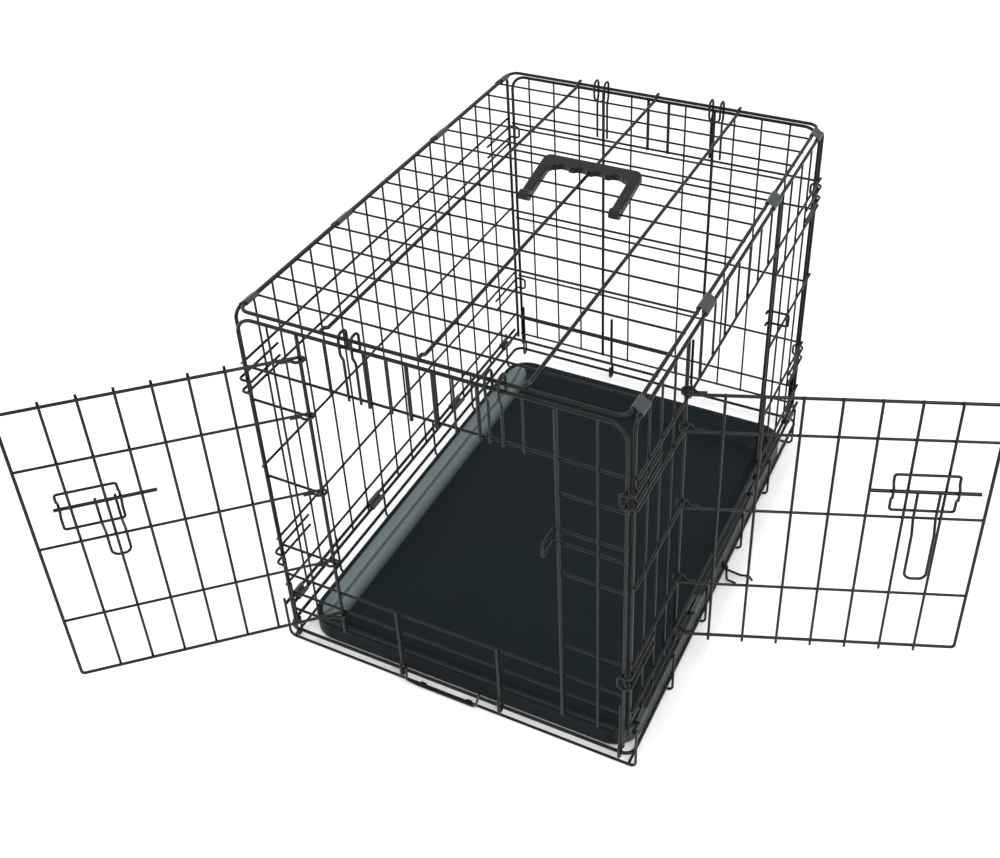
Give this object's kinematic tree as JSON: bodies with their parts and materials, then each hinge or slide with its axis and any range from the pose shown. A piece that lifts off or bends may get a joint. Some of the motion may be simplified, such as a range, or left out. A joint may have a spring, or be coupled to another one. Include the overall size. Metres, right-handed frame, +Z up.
{
  "type": "pet transport cage",
  "caption": "Folding wire pet transport cage with front and side doors, sliding bolts, carry handle and lift-out tray.",
  "frame": {"origin": "centre of the footprint, on the floor under the base cross wires", "axes": "+Z up, -Y towards the front door, +X towards the side door"},
  "size_m": [0.8627, 0.8162, 0.5002],
  "materials": {
    "wire": "satin",
    "clip": "satin",
    "handle": "satin",
    "tray": "satin"
  },
  "bodies": {
    "cage": {"top_frame": "wire", "top_cross_wires": "wire", "top_long_wires": "wire", "left_frame": "wire", "left_uprights": "wire", "left_levels": "wire", "left_corner_hooks": "wire", "right_frame": "wire", "right_uprights": "wire", "right_levels": "wire", "right_corner_hooks": "wire", "side_keeper": "wire", "base_rails": "wire", "base_frame": "wire", "base_cross_wires": "wire", "base_legs_left": "wire", "base_legs_right": "wire", "base_runners": "wire", "clips_top_left": "clip", "clips_top_right": "clip", "clips_base_left": "clip", "clips_base_right": "clip", "front_frame": "wire", "front_feet": "wire", "front_uprights": "wire", "front_levels": "wire", "front_top_hooks": "wire", "front_keeper": "wire", "back_frame": "wire", "back_feet": "wire", "back_uprights": "wire", "back_levels": "wire", "back_top_hooks": "wire"},
    "front_door": {"front_door_frame": "wire", "front_door_levels": "wire", "front_door_uprights": "wire", "front_bolt_guide": "wire"},
    "side_door": {"side_door_frame": "wire", "side_door_levels": "wire", "side_door_uprights": "wire", "side_bolt_guide": "wire"},
    "front_latch": {"front_bolt": "wire"},
    "side_latch": {"side_bolt": "wire"},
    "handle": {"carry_handle": "handle"},
    "floor_tray": {"tray": "tray"},
    "stop": {"tray_stop": "wire"},
    "hook": {"side_hook": "wire"}
  },
  "joints": [
    {"name": "front_door_swing", "type": "hinge", "parent": "cage", "child": "front_door", "pos_m": [-0.1381, -0.308, 0.2], "axis": [0, 0, 1], "range_deg": [-27, 137.8]},
    {"name": "side_door_swing", "type": "hinge", "parent": "cage", "child": "side_door", "pos_m": [0.215, -0.1678, 0.2], "axis": [0, 0, 1], "range_deg": [-84, 69.4]},
    {"name": "front_bolt_slide", "type": "slide", "parent": "front_door", "child": "front_latch", "axis": [-0.7408, -0.6717, 0], "range_m": [0, 0.032]},
    {"name": "side_bolt_slide", "type": "slide", "parent": "side_door", "child": "side_latch", "axis": [0.9361, 0.3518, 0], "range_m": [-0.02, 0.014]},
    {"name": "carry_handle_swing", "type": "hinge", "parent": "cage", "child": "handle", "pos_m": [0.006, 0.01807, 0.48005], "axis": [1, 0, 0], "range_deg": [0, 155]},
    {"name": "tray_lift", "type": "slide", "parent": "cage", "child": "floor_tray", "axis": [0, 0, 1], "range_m": [0, 0.022]},
    {"name": "tray_stop_swing", "type": "hinge", "parent": "cage", "child": "stop", "pos_m": [0, -0.305, 0.0015], "axis": [1, 0, 0], "range_deg": [0, 70]},
    {"name": "side_hook_swing", "type": "hinge", "parent": "cage", "child": "hook", "pos_m": [0.221, 0, 0.0215], "axis": [0, 1, 0], "range_deg": [-60, 0]}
  ]
}
